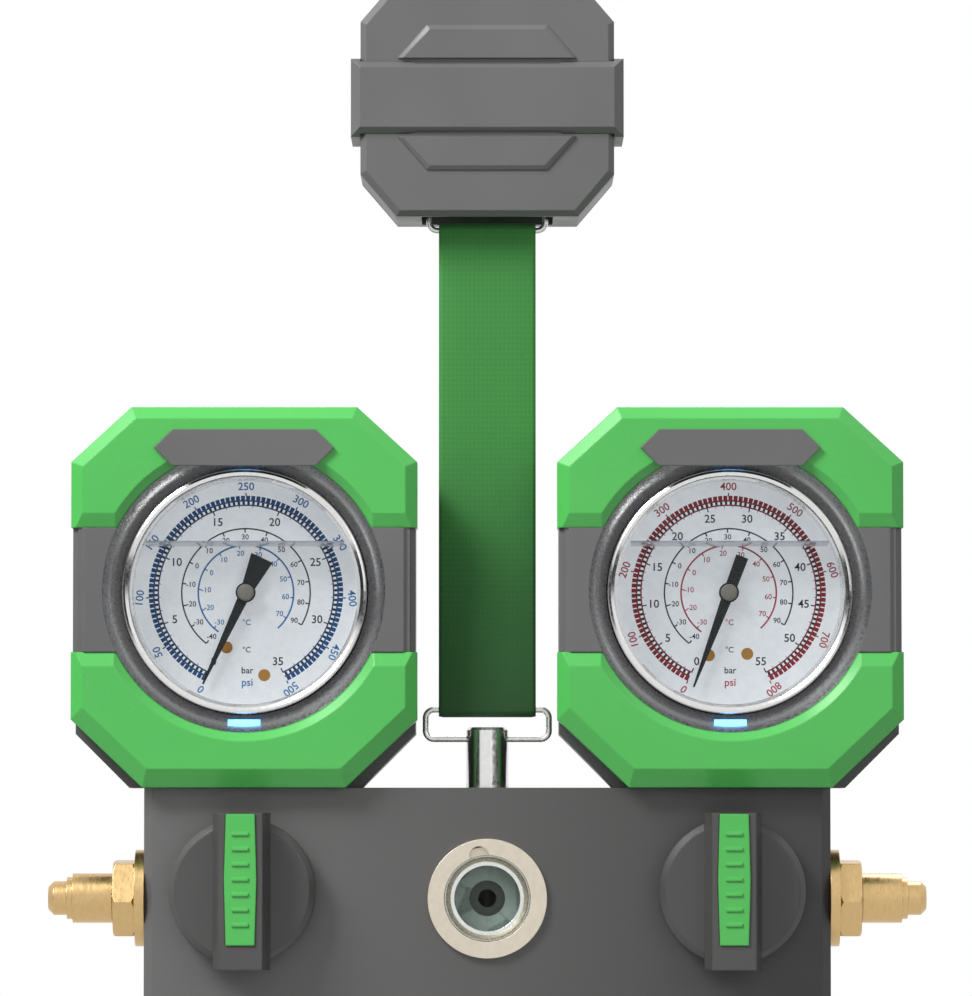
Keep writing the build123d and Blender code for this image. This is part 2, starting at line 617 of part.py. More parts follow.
def split_wedge(x, z, side):
    """The sloping cut along a cover's straight edge beside the bare band."""
    half = HEAD_WIDTH / 2 + 1
    return bar_x([(COVER_Y - 1, z), (COVER_Y + SPLIT_BEVEL_DEPTH, z),
                  (COVER_Y, z + side * SPLIT_BEVEL), (COVER_Y - 1, z + side * SPLIT_BEVEL)], x - half, x + half)


def head_bosses(x):
    return [(x + sx * BOSS_X, z) for sx in (-1, 1) for z in (HEAD_Z + BOSS_ABOVE, HEAD_Z - BOSS_BELOW)]


def make_head_shells(name, x):
    """The rear housing, the front frame with its bare band, and the two clip-on covers."""
    edge_y = COVER_Y + COVER_BEVEL_DEPTH
    opening = rod_y(x, HEAD_Z, OPENING_RADIUS, COVER_Y, RIM_Y)
    flare = turned_y([(0, COVER_Y), (OPENING_RADIUS + OPENING_BEVEL, COVER_Y), (OPENING_RADIUS, FRAME_Y),
                      (0, FRAME_Y)], x, HEAD_Z)
    form = bevelled(cover_outline(x, 0), cover_outline(x, COVER_BEVEL, COVER_LOW_BEVEL), COVER_Y, edge_y,
                    COVER_BACK_Y)
    form -= slab(cover_outline(x, COVER_WALL), FRAME_Y, COVER_BACK_Y) + flare
    low_x = x - HEAD_WIDTH / 2
    high_x = x + HEAD_WIDTH / 2
    upper = form & block(low_x, COVER_Y, SPLIT_TOP, high_x, COVER_BACK_Y, HEAD_TOP)
    lower = form & block(low_x, COVER_Y, BLOCK_TOP, high_x, COVER_BACK_Y, SPLIT_LOW)
    save(upper - split_wedge(x, SPLIT_TOP, 1), f"{name}_upper_cover")
    save(lower - split_wedge(x, SPLIT_LOW, -1), f"{name}_lower_cover")

    band_y = COVER_Y + BAND_SINK
    band = bevelled(cover_outline(x, BAND_INSET), cover_outline(x, BAND_INSET + COVER_BEVEL), band_y,
                    band_y + COVER_BEVEL_DEPTH, COVER_BACK_Y)
    band &= block(low_x, band_y, SPLIT_LOW, high_x, COVER_BACK_Y, SPLIT_TOP)
    band -= slab(cover_outline(x, COVER_WALL), RIM_Y, COVER_BACK_Y)
    frame = slab(cover_outline(x, COVER_WALL), FRAME_Y, RIM_Y) + band - opening
    for boss_x, boss_z in head_bosses(x):
        frame -= rod_y(boss_x, boss_z, SCREW_RADIUS, FRAME_Y + COVER_WALL / 4, RIM_Y)
    save(frame, f"{name}_front_frame")

    rear = head_outline(x, HOUSING_INSET, 0, HOUSING_LOW_CUT, HOUSING_LOW_CUT)
    rear_edge = head_outline(x, HOUSING_INSET + COVER_WALL, COVER_WALL, HOUSING_LOW_CUT, HOUSING_LOW_CUT)
    back_bevel_y = HOUSING_BACK_Y - COVER_WALL
    housing = slab(cover_outline(x, COVER_WALL), RIM_Y, COVER_BACK_Y) + slab(rear, COVER_BACK_Y, back_bevel_y)
    housing += loft([front_plane(back_bevel_y) * Polygon(*rear, align=None),
                     front_plane(HOUSING_BACK_Y) * Polygon(*rear_edge, align=None)])
    housing -= slab(cover_outline(x, COVER_WALL + HOUSING_WALL), RIM_Y, HOUSING_BACK_Y - HOUSING_WALL)
    for boss_x, boss_z in head_bosses(x):
        housing += rod_y(boss_x, boss_z, BOSS_RADIUS, RIM_Y, HOUSING_BACK_Y - HOUSING_WALL)
        housing -= rod_y(boss_x, boss_z, SCREW_RADIUS, RIM_Y, HOUSING_BACK_Y)
        housing -= rod_y(boss_x, boss_z, SCREW_HEAD_RADIUS, HOUSING_BACK_Y - SCREW_HEAD_HEIGHT, HOUSING_BACK_Y)
    housing -= rod_z(x, SERVICE_Y, STEM_RADIUS, BLOCK_TOP, BLOCK_TOP + COVER_WALL + HOUSING_WALL)
    save(housing, f"{name}_rear_housing")

    throat = BEZEL_RADIUS + 0.25
    lip = REFLECTOR_WALL * 1.5
    reflector = turned_y([(OPENING_RADIUS, FRAME_Y), (OPENING_RADIUS, FRAME_Y + lip),
                          (throat, FRAME_Y + REFLECTOR_DEPTH + lip), (throat, FRAME_Y + REFLECTOR_DEPTH)], x, HEAD_Z)
    for led in head_leds(x):
        reflector -= led
    save(reflector, f"{name}_reflector")


def head_leds(x):
    front = COVER_Y + COVER_WALL * 2
    leds = []
    for z in (HEAD_Z + LED_RADIUS, HEAD_Z - LED_RADIUS):
        leds.append(block(x - LED_WIDTH / 2, front, z - LED_HEIGHT / 2,
                          x + LED_WIDTH / 2, front + LED_DEPTH, z + LED_HEIGHT / 2))
    return leds


def badge(x):
    """A bare name-plate: a flat hexagon laid across the top of the dial opening."""
    z = HEAD_Z + BADGE_RISE
    half = BADGE_WIDTH / 2
    up = BADGE_HEIGHT / 2
    points = [(x - half, z), (x - half + BADGE_POINT, z - up), (x + half - BADGE_POINT, z - up),
              (x + half, z), (x + half - BADGE_POINT, z + up), (x - half + BADGE_POINT, z + up)]
    return slab(points, COVER_Y - BADGE_THICKNESS, COVER_Y)


def make_head_trim():
    leds = []
    badges = []
    screws = []
    for x in (-HEAD_X, HEAD_X):
        leds += head_leds(x)
        badges.append(badge(x))
        for boss_x, boss_z in head_bosses(x):
            head_y = HOUSING_BACK_Y - SCREW_HEAD_HEIGHT
            shank = rod_y(boss_x, boss_z, SCREW_RADIUS, FRAME_Y + COVER_WALL / 4, head_y)
            head = rod_y(boss_x, boss_z, SCREW_HEAD_RADIUS, head_y, HOUSING_BACK_Y)
            socket = extrude(front_plane(HOUSING_BACK_Y) * Pos(boss_x, boss_z) * RegularPolygon(1.3, 6), 1.0)
            screws.append(shank + head - socket)
    save(Compound(children=leds), "backlight_leds")
    save(Compound(children=badges), "badge_plates")
    save(Compound(children=screws), "housing_screws")


def gear_outline(teeth, first, last, turn):
    """Tooth points about a gear's centre, for teeth first to last, with straight flanks."""
    pitch = 2 * pi / teeth
    radius = GEAR_MODULE * teeth / 2
    root = radius - GEAR_DEDENDUM * GEAR_MODULE
    tip = radius + GEAR_ADDENDUM * GEAR_MODULE
    points = []
    for k in range(first, last + 1):
        middle = radians(turn) + k * pitch
        for share, r in ((-TOOTH_SHARE / 2, root), (-TIP_SHARE / 2, tip),
                         (TIP_SHARE / 2, tip), (TOOTH_SHARE / 2, root)):
            angle = middle + share * pitch
            points.append((r * cos(angle), r * sin(angle)))
    return points


def make_gauge(name, x, rest_angle, tail_width):
    """One gauge: crimped case, window, dial, socket, tube, movement, sector and pointer."""
    ledge_y = DIAL_Y + DIAL_THICKNESS
    bore = CASE_RADIUS - CASE_WALL
    base_y = CASE_BACK_Y - CASE_BASE
    neck_radius = STEM_RADIUS - 2
    case = turned_y([(0, CASE_BACK_Y), (CASE_RADIUS, CASE_BACK_Y), (CASE_RADIUS, CASE_FRONT_Y),
                     (bore, CASE_FRONT_Y), (bore, ledge_y), (bore - DIAL_LEDGE, ledge_y),
                     (bore - DIAL_LEDGE, base_y), (0, base_y)], x, HEAD_Z)
    neck = rod_z(x, SERVICE_Y, neck_radius, HEAD_Z - CASE_RADIUS, HEAD_Z - CASE_RADIUS + 5)
    save(case - neck, f"{name}_gauge_case")

    lip_y = WINDOW_Y - BEZEL_LIP
    bezel = turned_y([(CASE_RADIUS, lip_y + BEZEL_LENGTH), (BEZEL_RADIUS, lip_y + BEZEL_LENGTH),
                      (BEZEL_RADIUS, lip_y + BEZEL_ROUND), (BEZEL_RADIUS - BEZEL_ROUND / 3, lip_y + BEZEL_ROUND / 3),
                      (BEZEL_RADIUS - BEZEL_ROUND, lip_y), (BEZEL_LIP_RADIUS, lip_y + BEZEL_LIP / 2),
                      (BEZEL_LIP_RADIUS, WINDOW_Y), (CASE_RADIUS, WINDOW_Y)], x, HEAD_Z)
    save(bezel, f"{name}_gauge_bezel")
    save(rod_y(x, HEAD_Z, CASE_RADIUS, WINDOW_Y, CASE_FRONT_Y), f"{name}_gauge_window")
    dial = rod_y(x, HEAD_Z, DIAL_RADIUS, DIAL_Y, ledge_y)
    save(dial - rod_y(x, HEAD_Z, DIAL_HOLE_RADIUS, DIAL_Y, ledge_y), f"{name}_gauge_dial")

    back_y = PLATE_BACK_Y + PLATE_THICKNESS
    stem = rod_z(x, SERVICE_Y, STEM_RADIUS, BLOCK_TOP, HEAD_Z - CASE_RADIUS + 2)
    stem -= rod_y(x, HEAD_Z, CASE_RADIUS, CASE_FRONT_Y, CASE_BACK_Y)
    stem += rod_z(x, SERVICE_Y, STEM_THREAD_RADIUS, BLOCK_TOP - STEM_THREAD_LENGTH, BLOCK_TOP)
    stem += rod_z(x, SERVICE_Y, neck_radius, BLOCK_TOP, HEAD_Z - CASE_RADIUS + 5)
    half = SOCKET_WIDTH / 2
    bar = block(x - half, PLATE_Y, HEAD_Z - CASE_RADIUS + 4, x + half, back_y, HEAD_Z - PLATE_DOWN)
    stem += bar
    stem -= rod_z(x, SERVICE_Y, SOCKET_BORE_RADIUS, BLOCK_TOP - STEM_THREAD_LENGTH, HEAD_Z - TUBE_MID_RADIUS)
    save(stem, f"{name}_gauge_stem")

    def tube_ring(shrink, end):
        inner = TUBE_MID_RADIUS - TUBE_RADIAL / 2 + shrink
        outer = TUBE_MID_RADIUS + TUBE_RADIAL / 2 - shrink
        y_low = HEAD_Y - TUBE_AXIAL / 2 + shrink
        y_high = HEAD_Y + TUBE_AXIAL / 2 - shrink
        ring = rod_y(x, HEAD_Z, outer, y_low, y_high) - rod_y(x, HEAD_Z, inner, y_low, y_high)
        span = (360 + TUBE_START - end) / 3
        angles = [radians(end + k * span) for k in range(4)]
        reach = 2 * TUBE_MID_RADIUS
        wedge = [(x, HEAD_Z)] + [(x + reach * cos(a), HEAD_Z + reach * sin(a)) for a in angles]
        return ring - slab(wedge, y_low, y_high)

    tube_end = TUBE_START + TUBE_SWEEP
    tube = tube_ring(0, tube_end) - tube_ring(TUBE_WALL, tube_end - 2) - bar
    save(tube, f"{name}_bourdon_tube")

    arbor_bore = ARBOR_RADIUS + RUNNING_CLEARANCE
    pivot_x = x + GEAR_CENTRES
    movement = None
    for y in (PLATE_Y, PLATE_BACK_Y):
        plate = block(x - PLATE_LEFT, y, HEAD_Z - PLATE_DOWN, x + PLATE_RIGHT, y + PLATE_THICKNESS, HEAD_Z + PLATE_UP)
        for hole_x in (x, pivot_x):
            plate -= rod_y(hole_x, HEAD_Z, arbor_bore, y, y + PLATE_THICKNESS)
        movement = plate if movement is None else movement + plate
    for pillar_x in (x - PLATE_LEFT + 2, x + PLATE_RIGHT - 2):
        for pillar_z in (HEAD_Z + PLATE_UP - 2, HEAD_Z - PLATE_DOWN + 2):
            movement += rod_y(pillar_x, pillar_z, PILLAR_RADIUS, PLATE_Y, back_y)
    save(movement, f"{name}_movement")

    first = -int((SECTOR_SWEEP + SECTOR_MARGIN / 2) * SECTOR_TEETH / 360)
    teeth = gear_outline(SECTOR_TEETH, first, 1, 180)
    fan = [(pivot_x, HEAD_Z)] + [(pivot_x + a, HEAD_Z + b) for a, b in teeth]
    sector = slab(fan, GEAR_Y, GEAR_Y + GEAR_WIDTH)
    sector += rod_y(pivot_x, HEAD_Z, ARBOR_RADIUS * 3, GEAR_Y, GEAR_Y + GEAR_WIDTH)
    sector += rod_y(pivot_x, HEAD_Z, ARBOR_RADIUS, PLATE_Y, back_y)
    save(sector, f"{name}_sector_gear")

    blade_y = DIAL_Y - POINTER_LIFT
    blade_back = blade_y + POINTER_THICKNESS
    blade = slab([(-POINTER_ROOT, 0), (-POINTER_TIP / 2, -POINTER_LENGTH), (POINTER_TIP / 2, -POINTER_LENGTH),
                  (POINTER_ROOT, 0)], blade_y, blade_back)
    tail_root = min(tail_width, 2 * POINTER_ROOT) / 2
    blade += slab([(-tail_root, 0), (tail_root, 0), (tail_width / 2, POINTER_TAIL),
                   (-tail_width / 2, POINTER_TAIL)], blade_y, blade_back)
    blade += rod_y(0, 0, HUB_RADIUS, blade_y - HUB_HEIGHT, blade_back)
    pinion = [(x + a, HEAD_Z + b) for a, b in gear_outline(PINION_TEETH, 0, PINION_TEETH - 1, 15)]
    pointer = Pos(x, 0, HEAD_Z) * Rot(0, rest_angle, 0) * blade
    pointer += rod_y(x, HEAD_Z, ARBOR_RADIUS, blade_y, back_y)
    pointer += slab(pinion, GEAR_Y, GEAR_Y + GEAR_WIDTH)
    save(pointer, f"{name}_pointer")


def make_valve(name, x):
    """One valve: gland, spindle, piston on its thread, knob and coloured grip insert."""
    spindle_bore = SPINDLE_RADIUS + RUNNING_CLEARANCE
    flange_y = BLOCK_FRONT - BONNET_FLANGE_THICKNESS
    bonnet = turned_y([(spindle_bore, flange_y), (BONNET_FLANGE_RADIUS, flange_y),
                       (BONNET_FLANGE_RADIUS, BLOCK_FRONT), (BONNET_RADIUS, BLOCK_FRONT),
                       (BONNET_RADIUS, CHAMBER_Y), (spindle_bore, CHAMBER_Y)], x, VALVE_Z)
    save(bonnet, f"{name}_valve_bonnet")

    collar_y = CHAMBER_Y + RUNNING_CLEARANCE
    collar_end = collar_y + 0.5
    tip_y = SEAT_Y - PISTON_BORE_END - PISTON_TRAVEL - 0.1
    spindle_top = KNOB_FACE_Y - BONNET_FLANGE_THICKNESS
    spindle = turned_y([(0, spindle_top), (SPINDLE_RADIUS, spindle_top), (SPINDLE_RADIUS, collar_y),
                        (SPINDLE_RADIUS + 0.8, collar_y), (SPINDLE_RADIUS + 0.8, collar_end),
                        (SPINDLE_TIP_RADIUS, collar_end), (SPINDLE_TIP_RADIUS, tip_y), (0, tip_y)], x, VALVE_Z)
    save(spindle, f"{name}_valve_spindle")

    head_y = SEAT_Y - PISTON_LENGTH
    land = CHAMBER_RADIUS - RUNNING_CLEARANCE
    bore = SPINDLE_TIP_RADIUS + RUNNING_CLEARANCE
    bore_end = SEAT_Y - PISTON_BORE_END
    piston = turned_y([(bore, head_y), (land, head_y), (land, head_y + PISTON_LAND),
                       (PISTON_NOSE_RADIUS, head_y + PISTON_LAND), (PISTON_NOSE_RADIUS, SEAT_Y), (0, SEAT_Y),
                       (0, bore_end), (bore, bore_end)], x, VALVE_Z)
    save(piston, f"{name}_valve_piston")

    knob = turned_y([(0, KNOB_BACK_Y), (KNOB_RADIUS, KNOB_BACK_Y), (KNOB_RADIUS, KNOB_FACE_Y + KNOB_RIM_BEVEL),
                     (KNOB_RADIUS - KNOB_RIM_BEVEL, KNOB_FACE_Y), (0, KNOB_FACE_Y)], x, VALVE_Z)
    root = GRIP_ROOT_WIDTH / 2
    top = GRIP_TOP_WIDTH / 2
    waist_y = KNOB_FACE_Y - GRIP_HEIGHT * 0.35
    profile = [(-root, KNOB_FACE_Y), (-top - 0.5, waist_y), (-top, GRIP_FACE_Y), (top, GRIP_FACE_Y),
               (top + 0.5, waist_y), (root, KNOB_FACE_Y)]
    grip = Pos(x, 0, VALVE_Z - GRIP_HALF_LENGTH) * extrude(Polygon(*profile, align=None), 2 * GRIP_HALF_LENGTH)
    knob += grip
    recess_y = KNOB_BACK_Y - KNOB_RECESS
    knob -= turned_y([(KNOB_HUB_RADIUS, recess_y), (KNOB_RADIUS - KNOB_SKIRT, recess_y),
                      (KNOB_RADIUS - KNOB_SKIRT, KNOB_BACK_Y), (KNOB_HUB_RADIUS, KNOB_BACK_Y)], x, VALVE_Z)
    knob -= rod_y(x, VALVE_Z, KNOB_HUB_RADIUS, flange_y - KNOB_STANDOFF, KNOB_BACK_Y)
    knob -= rod_y(x, VALVE_Z, SPINDLE_RADIUS, spindle_top, KNOB_BACK_Y)
    insert_z = VALVE_Z + INSERT_RISE
    half = INSERT_WIDTH / 2 - INSERT_BARREL
    wide = INSERT_WIDTH / 2
    up = INSERT_LENGTH / 2
    outline = [(x - half, insert_z - up), (x + half, insert_z - up), (x + wide, insert_z), (x + half, insert_z + up),
               (x - half, insert_z + up), (x - wide, insert_z)]
    face_y = GRIP_FACE_Y - INSERT_PROUD
    insert = slab(outline, face_y, face_y + INSERT_THICKNESS)
    knob -= insert
    save(knob, f"{name}_valve_knob")
    for k in range(INSERT_RIBS):
        z = insert_z + (k - (INSERT_RIBS - 1) / 2) * RIB_PITCH
        insert += block(x - RIB_LENGTH / 2, face_y - RIB_HEIGHT, z - RIB_WIDTH / 2,
                        x + RIB_LENGTH / 2, face_y, z + RIB_WIDTH / 2)
    save(insert, f"{name}_grip_insert")


make_hanger()
save(wire_ring(UPPER_RING_WIDTH, UPPER_EYE_Z), "upper_ring")
save(wire_ring(LOWER_RING_WIDTH, STRAP_LOW_Z), "lower_ring")
make_strap()
make_post()
make_block()
make_ports()
make_sight_glass()
for side_name, side_x, rest, tail in (("left", -1, LEFT_REST_ANGLE, TAIL_LEFT_WIDTH),
                                      ("right", 1, RIGHT_REST_ANGLE, TAIL_RIGHT_WIDTH)):
    make_head_shells(side_name, side_x * HEAD_X)
    make_gauge(side_name, side_x * HEAD_X, rest, tail)
    make_valve(side_name, side_x * VALVE_X)
make_head_trim()
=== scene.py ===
from math import cos, pi, radians, sin, sqrt

import bpy
from mathutils import Matrix, Vector


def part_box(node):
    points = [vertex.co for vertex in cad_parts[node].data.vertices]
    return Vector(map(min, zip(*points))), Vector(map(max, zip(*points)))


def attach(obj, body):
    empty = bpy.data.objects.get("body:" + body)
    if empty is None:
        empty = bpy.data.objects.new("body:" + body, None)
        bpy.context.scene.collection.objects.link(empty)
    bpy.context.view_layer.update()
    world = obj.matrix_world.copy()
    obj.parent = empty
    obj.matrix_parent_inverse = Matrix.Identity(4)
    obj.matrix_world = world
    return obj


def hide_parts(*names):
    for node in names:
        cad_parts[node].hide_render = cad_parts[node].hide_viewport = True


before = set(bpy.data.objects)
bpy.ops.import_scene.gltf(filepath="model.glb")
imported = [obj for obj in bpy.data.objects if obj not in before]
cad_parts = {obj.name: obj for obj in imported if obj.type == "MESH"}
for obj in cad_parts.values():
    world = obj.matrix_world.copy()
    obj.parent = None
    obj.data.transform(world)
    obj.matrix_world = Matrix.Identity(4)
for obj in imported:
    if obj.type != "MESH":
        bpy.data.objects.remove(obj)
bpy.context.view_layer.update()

MM = 0.001


def corners(node):
    low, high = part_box(node)
    return Vector(low), Vector(high)


def middle(node):
    low, high = corners(node)
    return (low + high) / 2


# Camera: a long lens at the height of the valve block, tilted up a little
PHOTO_MM_PER_PX = 0.28
PHOTO_HEIGHT_PX = 996
CAMERA_DISTANCE = 1.9
CAMERA_Z = -0.2068
AIM = Vector((-0.00036, -0.042, -0.1135))
SENSOR = 24.0


def make_camera():
    data = bpy.data.cameras.new("camera")
    camera = bpy.data.objects.new("camera", data)
    bpy.context.collection.objects.link(camera)
    camera.location = (0, -CAMERA_DISTANCE, CAMERA_Z)
    line = AIM - camera.location
    camera.rotation_euler = line.to_track_quat("-Z", "Y").to_euler()
    data.sensor_fit = "VERTICAL"
    data.sensor_height = SENSOR
    data.lens = SENSOR * line.length / (PHOTO_HEIGHT_PX * PHOTO_MM_PER_PX * MM)
    data.clip_start = 0.05
    bpy.context.scene.camera = camera


make_camera()
bpy.context.scene.view_settings.view_transform = "Standard"


# Node helpers for the materials
def new_material(name):
    material = bpy.data.materials.new(name)
    material.use_nodes = True
    tree = material.node_tree
    shader = tree.nodes["Principled BSDF"]
    return material, tree, shader


def add(tree, kind, **inputs):
    node = tree.nodes.new(kind)
    for key, value in inputs.items():
        node.inputs[key.replace("_", " ")].default_value = value
    return node


def ramp(tree, source, stops):
    node = tree.nodes.new("ShaderNodeValToRGB")
    while len(node.color_ramp.elements) < len(stops):
        node.color_ramp.elements.new(0.5)
    for element, (place, colour) in zip(node.color_ramp.elements, stops):
        element.position = place
        element.color = (*colour, 1)
    tree.links.new(source, node.inputs["Fac"])
    return node.outputs["Color"]


def object_space(tree, scale=(1, 1, 1)):
    coordinates = tree.nodes.new("ShaderNodeTexCoord")
    mapping = tree.nodes.new("ShaderNodeMapping")
    mapping.inputs["Scale"].default_value = scale
    tree.links.new(coordinates.outputs["Object"], mapping.inputs["Vector"])
    return mapping.outputs["Vector"]


def noise(tree, vector, scale, detail=3.0):
    node = add(tree, "ShaderNodeTexNoise", Scale=scale, Detail=detail)
    tree.links.new(vector, node.inputs["Vector"])
    return node.outputs["Fac"]


def bump(tree, shader, height, strength, distance, edge=0.0):
    node = add(tree, "ShaderNodeBump", Strength=strength, Distance=distance)
    tree.links.new(height, node.inputs["Height"])
    if edge:
        rounding = add(tree, "ShaderNodeBevel", Radius=edge)
        rounding.samples = 4
        tree.links.new(rounding.outputs["Normal"], node.inputs["Normal"])
    tree.links.new(node.outputs["Normal"], shader.inputs["Normal"])


def plastic(name, dark, light, roughness, grain=2600.0, depth=0.18, edge=0.0005):
    """Moulded plastic: slow colour variation, fine texture in the surface, rounded edges."""
    material, tree, shader = new_material(name)
    place = object_space(tree)
    colour = ramp(tree, noise(tree, place, 14.0), ((0.35, dark), (0.65, light)))
    tree.links.new(colour, shader.inputs["Base Color"])
    satin = noise(tree, place, 60.0)
    rough = ramp(tree, satin, ((0.3, (roughness - 0.05,) * 3), (0.7, (roughness + 0.06,) * 3)))
    tree.links.new(rough, shader.inputs["Roughness"])
    bump(tree, shader, noise(tree, place, grain, 2.0), depth, 0.00004, edge)
    return material


def metal(name, dark, light, roughness, stretch=(1, 1, 1), grain=900.0, depth=0.12, edge=0.0003):
    """Machined or drawn metal: brushed along one direction by stretched noise."""
    material, tree, shader = new_material(name)
    shader.inputs["Metallic"].default_value = 1.0
    place = object_space(tree, stretch)
    grainy = noise(tree, place, grain, 2.0)
    colour = ramp(tree, grainy, ((0.3, dark), (0.7, light)))
    tree.links.new(colour, shader.inputs["Base Color"])
    rough = ramp(tree, grainy, ((0.3, (roughness,) * 3), (0.7, (roughness + 0.1,) * 3)))
    tree.links.new(rough, shader.inputs["Roughness"])
    bump(tree, shader, grainy, depth, 0.00003, edge)
    return material


def graded_block():
    """Dark satin anodised aluminium with painted shading: the colour runs lighter towards the left end,
    where the light falls, and darker to the right.
    """
    material, tree, shader = new_material("anodised_block")
    shader.inputs["Metallic"].default_value = 0.35
    coordinates = tree.nodes.new("ShaderNodeTexCoord")
    split = tree.nodes.new("ShaderNodeSeparateXYZ")
    tree.links.new(coordinates.outputs["Object"], split.inputs["Vector"])
    span = add(tree, "ShaderNodeMapRange")
    span.inputs["From Min"].default_value = -0.096
    span.inputs["From Max"].default_value = 0.096
    tree.links.new(split.outputs["X"], span.inputs["Value"])
    # painted shading: lighter at the left end, darker at the right, as if lit from the left
    colour = ramp(tree, span.outputs["Result"], ((0.0, (0.15, 0.148, 0.147)), (0.5, (0.105, 0.103, 0.102)),
                                                  (1.0, (0.05, 0.05, 0.05))))
    tree.links.new(colour, shader.inputs["Base Color"])
    place = object_space(tree, (0.05, 1, 1))
    grain = noise(tree, place, 2200.0, 2.0)
    rough = ramp(tree, grain, ((0.3, (0.42,) * 3), (0.7, (0.52,) * 3)))
    tree.links.new(rough, shader.inputs["Roughness"])
    bump(tree, shader, noise(tree, object_space(tree), 5200.0, 2.0), 0.12, 0.00003, 0.0004)
    return material


def clear_glass(name, tint, gloss=0.09, body=(0.02, 0.02, 0.02)):
    """Thin clear glass: mostly see-through, with a mirror sheen at a glancing angle."""
    material, tree, shader = new_material(name)
    output = tree.nodes["Material Output"]
    clear = add(tree, "ShaderNodeBsdfTransparent", Color=(*tint, 1))
    shader.inputs["Roughness"].default_value = 0.03
    shader.inputs["Base Color"].default_value = (*body, 1)
    fresnel = add(tree, "ShaderNodeFresnel", IOR=1.45)
    cloud = noise(tree, object_space(tree), 40.0)
    smear = ramp(tree, cloud, ((0.3, (gloss,) * 3), (0.7, (gloss * 1.5,) * 3)))
    amount = tree.nodes.new("ShaderNodeMath")
    amount.operation = "MULTIPLY_ADD"
    tree.links.new(fresnel.outputs["Fac"], amount.inputs[0])
    amount.inputs[1].default_value = 0.6
    tree.links.new(smear, amount.inputs[2])
    mix = tree.nodes.new("ShaderNodeMixShader")
    tree.links.new(amount.outputs["Value"], mix.inputs["Fac"])
    tree.links.new(clear.outputs["BSDF"], mix.inputs[1])
    tree.links.new(shader.outputs["BSDF"], mix.inputs[2])
    tree.links.new(mix.outputs["Shader"], output.inputs["Surface"])
    return material


def glow(name, colour, strength):
    material, tree, shader = new_material(name)
    shader.inputs["Roughness"].default_value = 0.25
    shader.inputs["Emission Strength"].default_value = strength
    cloud = noise(tree, object_space(tree), 300.0)
    tone = ramp(tree, cloud, ((0.3, colour), (0.7, tuple(c * 0.9 for c in colour))))
    tree.links.new(tone, shader.inputs["Base Color"])
    tree.links.new(tone, shader.inputs["Emission Color"])
    return material


def printed(name, colour, roughness=0.45, backlight=0.0):
    material, tree, shader = new_material(name)
    cloud = noise(tree, object_space(tree), 500.0)
    tone = ramp(tree, cloud, ((0.3, colour), (0.7, tuple(c * 0.93 for c in colour))))
    tree.links.new(tone, shader.inputs["Base Color"])
    tree.links.new(tone, shader.inputs["Emission Color"])
    # emission strength: a glow painted into the print, though it is no lamp; the dial uses it as painted
    # light
    shader.inputs["Emission Strength"].default_value = backlight
    shader.inputs["Roughness"].default_value = roughness
    return material


def webbing():
    """Woven polyester: ribs across the strap, fine threads along it, darker towards its foot."""
    material, tree, shader = new_material("webbing")
    shader.inputs["Roughness"].default_value = 0.78
    shader.inputs["Sheen Weight"].default_value = 0.25
    coordinates = tree.nodes.new("ShaderNodeTexCoord")
    split = tree.nodes.new("ShaderNodeSeparateXYZ")
    tree.links.new(coordinates.outputs["Object"], split.inputs["Vector"])
    span = add(tree, "ShaderNodeMapRange")
    span.inputs["From Min"].default_value = -0.175
    span.inputs["From Max"].default_value = -0.034
    tree.links.new(split.outputs["Z"], span.inputs["Value"])
    colour = ramp(tree, span.outputs["Result"], ((0.0, (0.012, 0.075, 0.014)), (0.25, (0.02, 0.14, 0.022)),
                                                  (0.6, (0.04, 0.26, 0.042)), (1.0, (0.05, 0.29, 0.052))))
    ribs = tree.nodes.new("ShaderNodeTexWave")
    ribs.bands_direction = "Z"
    ribs.inputs["Scale"].default_value = 210.0
    threads = tree.nodes.new("ShaderNodeTexWave")
    threads.bands_direction = "X"
    threads.inputs["Scale"].default_value = 260.0
    place = object_space(tree)
    for wave in (ribs, threads):
        wave.inputs["Distortion"].default_value = 0.6
        wave.inputs["Detail Scale"].default_value = 60.0
        tree.links.new(place, wave.inputs["Vector"])
    weave = tree.nodes.new("ShaderNodeMath")
    weave.operation = "MULTIPLY"
    tree.links.new(ribs.outputs["Fac"], weave.inputs[0])
    tree.links.new(threads.outputs["Fac"], weave.inputs[1])
    shade = tree.nodes.new("ShaderNodeMix")
    shade.data_type = "RGBA"
    shade.blend_type = "MULTIPLY"
    shade.inputs["Factor"].default_value = 0.15
    tree.links.new(colour, shade.inputs["A"])
    tree.links.new(weave.outputs["Value"], shade.inputs["B"])
    tree.links.new(shade.outputs["Result"], shader.inputs["Base Color"])
    bump(tree, shader, weave.outputs["Value"], 0.3, 0.0001)
    return material


GREEN = plastic("green_plastic", (0.08, 0.50, 0.095), (0.09, 0.53, 0.105), 0.3, edge=0.0006)
DARK = plastic("dark_plastic", (0.075, 0.075, 0.075), (0.095, 0.095, 0.095), 0.42)
HANGER = plastic("hanger_plastic", (0.115, 0.115, 0.115), (0.135, 0.135, 0.135), 0.42)
GREY = plastic("grey_plastic", (0.12, 0.12, 0.12), (0.145, 0.145, 0.145), 0.4)
KNOB = plastic("knob_plastic", (0.06, 0.059, 0.059), (0.075, 0.074, 0.073), 0.34, edge=0.0007)
STEEL = metal("bright_steel", (0.72, 0.72, 0.71), (0.78, 0.78, 0.77), 0.13, depth=0.03, edge=0.0)
WIRE = metal("ring_wire", (0.55, 0.55, 0.53), (0.7, 0.7, 0.68), 0.22)
REFLECTOR = metal("reflector", (0.34, 0.34, 0.35), (0.37, 0.37, 0.38), 0.24, depth=0.02, edge=0.0)
BRASS = metal("brass", (0.60, 0.41, 0.19), (0.66, 0.46, 0.22), 0.26, (1, 0.3, 0.3), 1600.0, depth=0.04)
BEIGE = metal("beige_metal", (0.62, 0.56, 0.46), (0.66, 0.6, 0.5), 0.4, depth=0.04)
